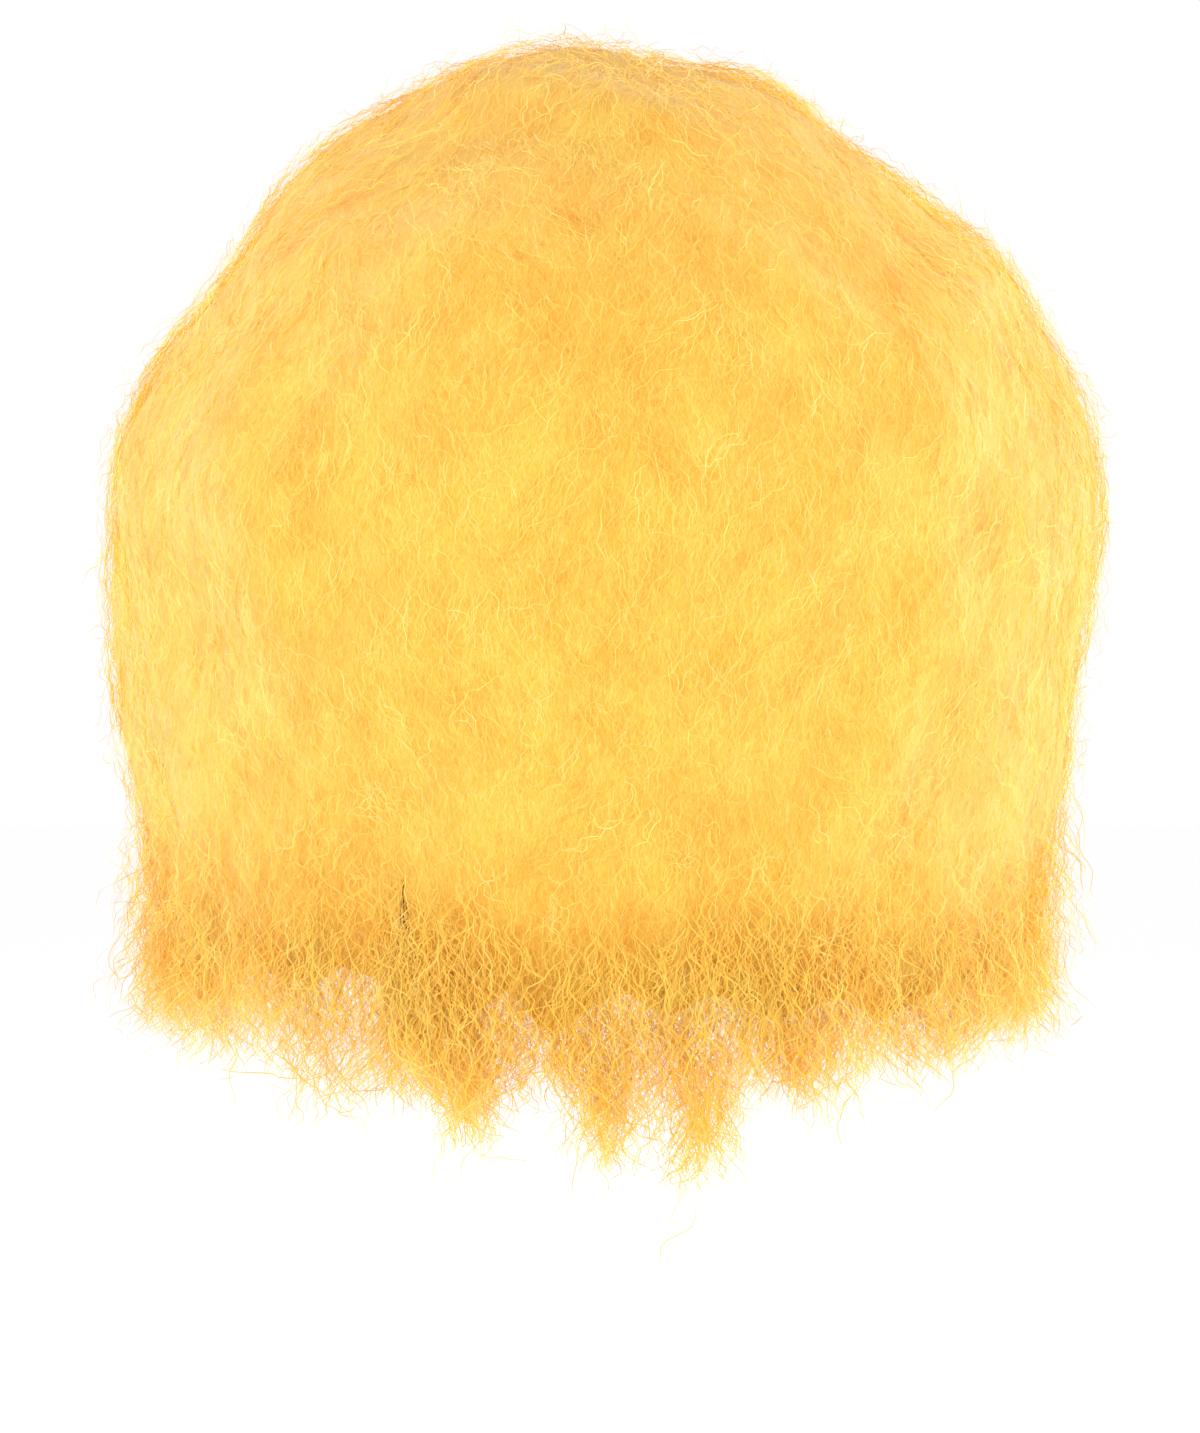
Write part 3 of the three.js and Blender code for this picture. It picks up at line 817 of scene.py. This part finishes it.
@dataclass
class HairRow:
    """One row of hair: its bed, and the fleece that grows on it."""

    name: str
    number: int
    seam_top: float
    seam_bottom: float
    edge_top: float
    edge_bottom: float
    form: CloudForm
    inset: float = 5 * MM
    gap: float = 0.04 * MM
    density: float = 61000.0
    columns: int = 160
    outside_steps: int = 18
    hollow_steps: int = 12
    side_steps: int = 4
    seam_steps: int = 3
    lowest: bool = False
    hem_lift: float = 0.02
    hem_inset: float = 8 * MM
    skirt: float = 12 * MM
    ragged: float = 0.009
    ragged_waves: Waves = Waves(count=16, shortest=0.09, longest=0.4, seed=31)
    kinds: np.ndarray = field(default_factory=lambda: np.zeros(0, dtype=np.int32))

    def outside(self, azimuth: np.ndarray) -> np.ndarray:
        """Points down the outside: the cloud's reach less the inset, with its lumps."""
        edge = self.form.hem_edge(azimuth)
        trim = self.gap / 2 / self.form.cloud_rise
        top = edge * self.edge_top + (trim if self.number else 0.0)
        bottom = edge * self.edge_bottom - trim
        steps = np.linspace(0, 1, self.outside_steps + 1)
        inset = np.full_like(steps, self.inset)
        if self.lowest:
            ragged = self.ragged * self.ragged_waves.at(towards(azimuth, np.full_like(azimuth, np.pi / 2)))
            bottom = bottom * (1 - self.hem_lift + ragged)
            inset = inset + self.hem_inset * steps ** 2
        fall = top[:, None] + (bottom - top)[:, None] * steps
        around = np.broadcast_to(azimuth[:, None], fall.shape)
        points = self.form.lumpy_point(around, fall, inset)
        if self.lowest:
            points[..., 2] -= self.skirt * steps ** 4
        return points

    def hollow(self, azimuth: np.ndarray) -> np.ndarray:
        """Points up the wall of the hollow, from the inner edge of the hem to the band, and up the band."""
        form = self.form
        level = form.hollow_reach(towards(azimuth, np.full_like(azimuth, np.pi / 2)))
        bottom = np.pi / 2 + np.arctan2(form.nape_share.at(azimuth) * form.cloud_drop, level)
        top = form.rim_fall(azimuth) + form.hollow_ease / level
        fall = bottom[:, None] + (top - bottom)[:, None] * np.linspace(0, 1, self.hollow_steps + 1)
        around = np.broadcast_to(azimuth[:, None], fall.shape)
        wall = form.point(around, fall, form.hollow_reach(towards(around, fall)))
        rim, edge = form.rim_fall(azimuth), form.cap_edge(azimuth) - 1 * MM / form.head_rise
        hug = rim[:, None] + (edge - rim)[:, None] * np.linspace(0, 1, self.seam_steps)
        around = np.broadcast_to(azimuth[:, None], hug.shape)
        band = form.point(around, hug, form.head_reach(towards(around, hug), form.band_gap))
        return np.concatenate([wall, band], axis=1)

    def cap_side(self, azimuth: np.ndarray) -> np.ndarray:
        """Points up the side that lies along the cap."""
        form = self.form
        trim = self.gap / 2 / form.head_rise
        top = form.seam(azimuth, self.seam_top) + trim if self.number else np.zeros_like(azimuth)
        bottom = form.seam(azimuth, self.seam_bottom) - trim
        fall = bottom[:, None] + (top - bottom)[:, None] * np.linspace(0, 1, self.seam_steps + 1)
        around = np.broadcast_to(azimuth[:, None], fall.shape)
        return form.point(around, fall, form.head_reach(towards(around, fall), form.cap_gap))

    def bridge(self, start: np.ndarray, end: np.ndarray) -> np.ndarray:
        """Points on the straight lines between two edges, without the edges themselves."""
        share = np.linspace(0, 1, self.side_steps + 2)[1:-1, None]
        return start[:, None] * (1 - share) + end[:, None] * share

    def build_bed(self, opening: FaceOpening) -> bpy.types.Object:
        """Makes the bed as a closed body and cuts the face opening and the parting out of it.

        Args:
            opening: what is cut away.

        Returns:
            The bed's object; the kind of each of its faces is kept in kinds.
        """
        azimuth = np.arange(self.columns) / self.columns * 2 * np.pi
        outside, cap_side = self.outside(azimuth), self.cap_side(azimuth)
        inner = self.hollow(azimuth) if self.lowest else cap_side[:, :0]
        landing = inner if self.lowest else cap_side
        under = self.bridge(outside[:, -1], landing[:, 0])
        over = self.bridge(cap_side[:, -1], outside[:, 0])
        loop = [outside, under, inner, cap_side, over]
        inside = Face.SHELTERED if self.lowest else Face.HIDDEN
        shown = [Face.COMBED, inside, inside, Face.HIDDEN, Face.HIDDEN]
        kinds = np.concatenate([np.full(part.shape[1], kind.value) for part, kind in zip(loop, shown)])
        kinds[self.outside_steps] = kinds[self.outside_steps + 1]
        bed = link(bpy.data.objects.new(f"{self.name}_bed", ring_mesh(
            f"{self.name}_bed", np.concatenate(loop, axis=1), kinds)))
        reach = self.form.cloud_front * 2
        cutters = [opening.cutter("face", opening.arch_outline(), -reach, 0.0)]
        if self.lowest:
            cutters.append(opening.cutter("parting", opening.parting_outline(), opening.parting_depth, reach))
        for cutter in cutters:
            cut_away(bed, cutter)
            bpy.data.objects.remove(cutter)
        self.kinds = np.empty(len(bed.data.polygons), dtype=np.int32)
        bed.data.polygons.foreach_get("material_index", self.kinds)
        bed.data.polygons.foreach_set("material_index", np.zeros_like(self.kinds))
        bed.data.polygons.foreach_set("use_smooth", np.ones(len(self.kinds), dtype=bool))
        bed.data.set_sharp_from_angle(angle=math.radians(50))
        return bed

    def weights(self, shares: dict[Face, float]) -> np.ndarray:
        """Share of the full density that each face of the bed gets."""
        return np.array([shares.get(kind, 0.0) for kind in Face])[self.kinds]

    def ruff(self, bed: bpy.types.Object, opening: FaceOpening, seed: int) -> Strands:
        """Loose fibres in all directions along the edge of the face opening."""
        roots = scattered_roots(
            bed.data, self.weights({Face.COMBED: 1.0, Face.CUT: 1.0}), self.density * RUFF.share, seed)
        near = opening.edge_share(roots.place) < opening.ruff_reach
        outer = roots.picked(near & (np.linalg.norm(roots.place[:, :2], axis=1) > self.form.head_length / 2))
        return grown(
            outer, RUFF, self.form.cloud_width / 2, deepest=-self.inset, proudest=2 * self.inset, seed=seed + 1)

    def build_fibres(self, bed: bpy.types.Object, name: str, growths: tuple[Growth, ...],
                     shares: dict[Face, float], seed: int) -> bpy.types.Object:
        """Grows fibres on some kinds of face, as one piece.

        Args:
            bed: the row's bed.
            name: the piece's name.
            growths: what grows there, one over the other.
            shares: share of the full density on each kind of face.
            seed: seed of the draws.

        Returns:
            The fibres' object.
        """
        parts = []
        for layer, growth in enumerate(growths):
            roots = scattered_roots(bed.data, self.weights(shares), self.density * growth.share, seed + layer)
            parts.append(grown(
                roots, growth, self.form.cloud_width / 2, deepest=-self.inset, proudest=2 * self.inset,
                seed=seed + layer + 10))
        return link(bpy.data.objects.new(name, Strands.joined(parts).mesh(name)))


@dataclass(frozen=True)
class Tip:
    """A drawn-out tip of the hem: its azimuth and spread in degrees, and how far it hangs down.

    A see-through pocket has the share of the curls that are left out there in place of the drop, and a veil of
    more curls has that share below nought.
    """

    azimuth: float
    spread: float
    drop: float


@dataclass
class HangingHem:
    """Loose curls that hang from the lowest row, lowest where the photograph shows drawn-out tips."""

    form: CloudForm
    crowd: float = 500000.0
    curls: int = 14900
    segments: int = 10
    step: float = 4.2 * MM
    width: float = 0.34 * MM
    root_rise: float = 134 * MM
    sure_rise: float = 14 * MM
    under_share: float = 0.3
    fade_rise: float = 80 * MM
    fade_sway: float = 20 * MM
    sway_waves: Waves = Waves(count=12, shortest=0.3, longest=0.9, seed=41)
    bed_rise: float = 6 * MM
    crowding: float = 1.9
    scatter: float = 0.35
    plain_drop: Sides = Sides(left=34 * MM, right=32 * MM, back=46 * MM, front=22 * MM)
    stray_share: float = 0.02
    stray_drop: float = 34 * MM
    out: float = 7 * MM
    short_wave: float = 0.8
    long_wave: float = 0.7
    pull: float = 0.6
    seed: int = 71
    tips: tuple[Tip, ...] = (
        Tip(azimuth=52, spread=7, drop=58 * MM),
        Tip(azimuth=71, spread=9, drop=62 * MM),
        Tip(azimuth=92, spread=7, drop=70 * MM),
        Tip(azimuth=104, spread=7, drop=80 * MM),
        Tip(azimuth=121, spread=9, drop=54 * MM),
        Tip(azimuth=143, spread=9, drop=40 * MM),
        Tip(azimuth=168, spread=9, drop=36 * MM),
        Tip(azimuth=197, spread=9, drop=34 * MM),
        Tip(azimuth=28, spread=9, drop=42 * MM),
        Tip(azimuth=4, spread=9, drop=38 * MM),
        Tip(azimuth=-26, spread=9, drop=28 * MM),
    )

    pockets: tuple[Tip, ...] = (
        Tip(azimuth=65, spread=5, drop=-1.6),
        Tip(azimuth=56, spread=3, drop=0.5),
        Tip(azimuth=82, spread=4, drop=0.6),
        Tip(azimuth=98, spread=2.5, drop=0.5),
        Tip(azimuth=132, spread=4, drop=0.5),
    )

    def thinned(self, azimuth: np.ndarray) -> np.ndarray:
        """Share of the curls at azimuths in degrees: fewer at see-through pockets, more over the parting."""
        shares = [1 - pocket.drop * np.exp(-((azimuth - pocket.azimuth) / pocket.spread) ** 2)
                  for pocket in self.pockets]
        return np.prod(shares, axis=0)

    def hang(self, azimuth: np.ndarray) -> tuple[np.ndarray, np.ndarray]:
        """Drop of the hem's edge at azimuths, and the turn from each to its nearest tip.

        Args:
            azimuth: azimuths in degrees.

        Returns:
            The drop, the plain one or a soft peak at a tip if that is lower, and the turn in degrees.
        """
        away = np.stack([(tip.azimuth - azimuth + 180) % 360 - 180 for tip in self.tips])
        peaks = np.stack([tip.drop * np.exp(-(turn / tip.spread) ** 2) for tip, turn in zip(self.tips, away)])
        nearest = np.abs(away).argmin(axis=0)
        turn = np.take_along_axis(away, nearest[None], axis=0)[0]
        return np.maximum(peaks.max(axis=0), self.plain_drop.at(np.radians(azimuth))), turn

    def build(self, bed: bpy.types.Object, weights: np.ndarray) -> list[bpy.types.Object]:
        """Hangs the curls from the lower part of the bed.

        Each curl's heading swings in two waves about a line that runs on from the lie of the hair, and is
        summed up step by step. The curl is moved down that line to end at its own level, and turned about the
        middle axis towards the nearest tip, with the square of its depth below the bed.

        Args:
            bed: the lowest row's bed.
            weights: share of the density on each of its faces.

        Returns:
            The curls of the back and those of the sides, as two objects.
        """
        crowd = scattered_roots(bed.data, weights, self.crowd, self.seed)
        outer = np.linalg.norm(crowd.place[:, :2], axis=1) > self.form.head_length / 2 + 2 * self.form.hollow_ease
        crowd_azimuth = np.arctan2(crowd.place[:, 1], crowd.place[:, 0])
        draw = np.random.default_rng(self.seed + 1)
        rise = crowd.place[:, 2] - self.form.hem_level(crowd_azimuth)
        low = (self.root_rise - rise) / (self.root_rise - self.sure_rise)
        crowd_drop, _ = self.hang(np.degrees(crowd_azimuth))
        chance = np.clip(low, 0, 1) ** 2 * crowd_drop ** self.crowding * self.thinned(np.degrees(crowd_azimuth))
        chance *= np.where(crowd.normal[:, 2] < -0.7, self.under_share, 1.0) * outer
        chosen = draw.choice(len(chance), self.curls, replace=False, p=chance / chance.sum())
        roots = crowd.picked(chosen)
        count, steps = self.curls, self.segments + 1
        azimuth = np.arctan2(roots.place[:, 1], roots.place[:, 0])
        drop, turn = self.hang(np.degrees(azimuth))
        hem = self.form.hem_level(azimuth)
        sway = self.fade_sway * self.sway_waves.at(towards(azimuth, np.full_like(azimuth, np.pi / 2)))
        fade = np.maximum(self.fade_rise + sway, 2 * self.bed_rise)
        level = hem + fade - (fade - self.bed_rise + drop) * draw.random(count) ** 0.65
        level -= self.stray_drop * draw.random(count) * (draw.random(count) < self.stray_share)
        waves = draw.uniform([[2.8], [6.0]], [[6.0], [14.0]], (2, count))[..., None]
        swings = draw.uniform(0.2, 1.3, (2, 2, count, 1)) * np.array([self.short_wave, self.long_wave])[
            :, None, None, None]
        phase = draw.uniform(0, 2 * np.pi, (4, count, 1))
        step = np.arange(steps)[None]
        lean = [swings[0, side] * np.sin(2 * np.pi * step / waves[0] + phase[2 * side])
                + swings[1, side] * np.sin(2 * np.pi * step / waves[1] + phase[2 * side + 1]) for side in (0, 1)]
        swing = np.stack([lean[0], lean[1], np.zeros_like(lean[0])], axis=-1)
        line = unit(0.5 * roots.lie + np.array([0.0, 0.0, -1.0]))
        mean = line + self.scatter * draw.normal(size=(count, 3))
        path = np.cumsum(unit(mean[:, None] + swing), axis=1) * self.step
        path -= path[:, :1]
        sunk = np.maximum(roots.place[:, 2] + path[:, -1, 2] - level, 0.0) / -line[:, 2]
        start = roots.place + line * sunk[:, None] + self.out * roots.normal * draw.random((count, 1))
        points = start[:, None] + path
        depth = np.clip(((hem + self.bed_rise)[:, None] - points[..., 2]) / drop[:, None], 0.0, 1.2)
        twist = np.radians(self.pull * turn)[:, None] * depth ** 2
        cosine, sine = np.cos(twist), np.sin(twist)
        points = np.stack([
            points[..., 0] * cosine - points[..., 1] * sine,
            points[..., 0] * sine + points[..., 1] * cosine, points[..., 2]], axis=-1)
        strands = Strands(
            points=points, normal=unit(roots.place * np.array([1.0, 1.0, 0.0])),
            height=np.broadcast_to(0.28 + 0.45 * draw.random((count, 1)), (count, steps)),
            tint=draw.uniform(0.15, 0.85, count), width=self.width * draw.uniform(0.7, 1.3, count),
            roll=draw.uniform(-1.1, 1.1, count))
        behind = np.sin(azimuth) > math.sin(math.radians(35))
        pieces = []
        for name, rows in (("hair_nape_hem_back", behind), ("hair_nape_hem_sides", ~behind)):
            pieces.append(link(bpy.data.objects.new(name, strands.picked(rows).mesh(name))))
        return pieces


@dataclass
class Studio:
    """Pale floor, soft lights and the camera at the photograph's angle, behind the wig and level with it."""

    metres_per_pixel: float = 0.47 * MM
    picture: tuple[int, int] = (1200, 1433)
    crown_pixel: tuple[float, float] = (600.0, 276.0)
    distance: float = 2.2
    sensor: float = 36.0
    floor_level: float = -0.62
    floor_radius: float = 16.0
    floor_corners: int = 48

    def aim(self) -> Vector:
        """Point that the middle of the picture shows, worked out from the crown's place in it."""
        across = (self.crown_pixel[0] - self.picture[0] / 2) * self.metres_per_pixel
        down = (self.picture[1] / 2 - self.crown_pixel[1]) * self.metres_per_pixel
        return Vector((across, 0.0, -down))

    def camera(self) -> None:
        """Makes the camera; the picture's long side spans the sensor."""
        data = bpy.data.cameras.new("camera")
        data.sensor_width = self.sensor
        data.lens = self.sensor * self.distance / (self.picture[1] * self.metres_per_pixel)
        obj = link(bpy.data.objects.new("camera", data))
        aim = self.aim()
        obj.location = aim + Vector((0.0, self.distance, 0.0))
        obj.rotation_euler = (math.pi / 2, 0.0, math.pi)
        bpy.context.scene.camera = obj

    def floor(self) -> None:
        """Plain pale floor: a wide disc under the wig."""
        around = np.linspace(0, 2 * np.pi, self.floor_corners, endpoint=False)
        rim = self.floor_radius * np.stack([np.cos(around), np.sin(around)], axis=-1)
        corners = np.insert(rim, 2, self.floor_level, axis=1)
        mesh = bpy.data.meshes.new("floor")
        mesh.from_pydata(corners.tolist(), [], [list(range(self.floor_corners))])
        bench = NodeBench("floor_paper")
        bench.shader.inputs["Base Color"].default_value = (0.99, 0.99, 0.99, 1.0)
        bench.shader.inputs["Roughness"].default_value = 0.9
        mesh.materials.append(bench.material)
        link(bpy.data.objects.new("floor", mesh))

    def lamp(self, name: str, place: tuple[float, float, float], size: float, power: float) -> None:
        """Soft square lamp that faces the middle of the wig."""
        data = bpy.data.lights.new(name, "AREA")
        data.size = size
        data.energy = power
        obj = link(bpy.data.objects.new(name, data))
        obj.location = place
        obj.visible_camera = False
        obj.rotation_euler = (self.aim() - Vector(place)).to_track_quat("-Z", "Y").to_euler()

    def lights(self) -> None:
        """Even white surroundings, a large key from above the camera, and lamps at the sides."""
        world = bpy.data.worlds.new("surroundings")
        world.use_nodes = True
        world.node_tree.nodes["Background"].inputs["Color"].default_value = (1.0, 1.0, 1.0, 1.0)
        world.node_tree.nodes["Background"].inputs["Strength"].default_value = 1.0
        bpy.context.scene.world = world
        bpy.context.scene.view_settings.view_transform = "Standard"
        self.lamp("key", (0.6, 2.2, 1.6), 2.0, 5.0)
        self.lamp("left_rim", (2.1, -0.6, 0.2), 1.8, 24.0)
        self.lamp("right_rim", (-2.1, -0.6, 0.2), 1.8, 33.0)
        self.lamp("top", (0.0, 0.3, 2.2), 1.6, 6.0)
        self.lamp("low_fill", (0.0, 1.5, -0.58), 1.0, 7.0)


def keep(piece: bpy.types.Object, material: bpy.types.Material, nodes: list[str]) -> None:
    """Dresses a new piece, attaches it to the body and hides the imported parts that it stands for."""
    piece.data.materials.clear()
    piece.data.materials.append(material)
    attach(piece, BODY)
    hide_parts(*nodes)
    log.info("%s: %d faces", piece.name, len(piece.data.polygons))


def dress_cap() -> None:
    """Gives the net cap and its elastic rim their knitted finishes."""
    net = KnitFinish(yarn=(0.62, 0.42, 0.14), gap_shade=(0.2, 0.12, 0.04), cells=420.0)
    elastic = KnitFinish(yarn=(0.55, 0.36, 0.12), gap_shade=(0.3, 0.19, 0.06), cells=620.0)
    for node, finish in (("wig_cap", net), ("rim_band", elastic)):
        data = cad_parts[node].data
        data.materials.clear()
        data.materials.append(finish.material(f"{node}_knit"))
        log.info("%s dressed", node)


def main() -> None:
    """Builds the wig's pieces in order, then the studio."""
    logging.basicConfig(level=logging.INFO, format="%(name)s: %(message)s")
    form, opening, finish = CloudForm(), FaceOpening(), FibreFinish()
    bed_material = finish.bed_material("fibre_bed", form.heart)
    fibre_material = finish.fibre_material("fibre")
    dress_cap()
    names = ["hair_crown", "hair_upper", "hair_middle", "hair_lower", "hair_nape"]
    seams = [0.0, 0.4, 0.68, 0.86, 0.95]
    edges = [0.27, 0.5, 0.68, 0.84, 1.0]
    ruff = []
    for number, name in enumerate(names):
        row = HairRow(
            name=name, number=number, form=form, lowest=number == len(names) - 1,
            seam_top=seams[number - 1] if number else 0.0, seam_bottom=seams[number],
            edge_top=edges[number - 1] if number else 0.0, edge_bottom=edges[number])
        bed = row.build_bed(opening)
        keep(bed, bed_material, [name])
        seed = 100 * (number + 1)
        outer = {Face.COMBED: 1.0, Face.CUT: 0.9}
        fibres = row.build_fibres(bed, f"{name}_fibres", (FLEECE, HALO), outer, seed)
        keep(fibres, fibre_material, [name])
        ruff.append(row.ruff(bed, opening, seed + 70))
        if row.lowest:
            inner = {Face.SHELTERED: 0.42}
            lining = row.build_fibres(bed, f"{name}_inner_fibres", (LINING,), inner, seed + 50)
            keep(lining, fibre_material, [name])
            hem_shares = {Face.COMBED: 1.0, Face.SHELTERED: 0.3, Face.CUT: 0.5}
            for hem in HangingHem(form=form).build(bed, row.weights(hem_shares)):
                keep(hem, fibre_material, [name])
    edge = link(bpy.data.objects.new("hair_face_edge", Strands.joined(ruff).mesh("hair_face_edge")))
    keep(edge, fibre_material, names)
    studio = Studio()
    studio.floor()
    studio.lights()
    studio.camera()


if __name__ == "__main__":
    main()
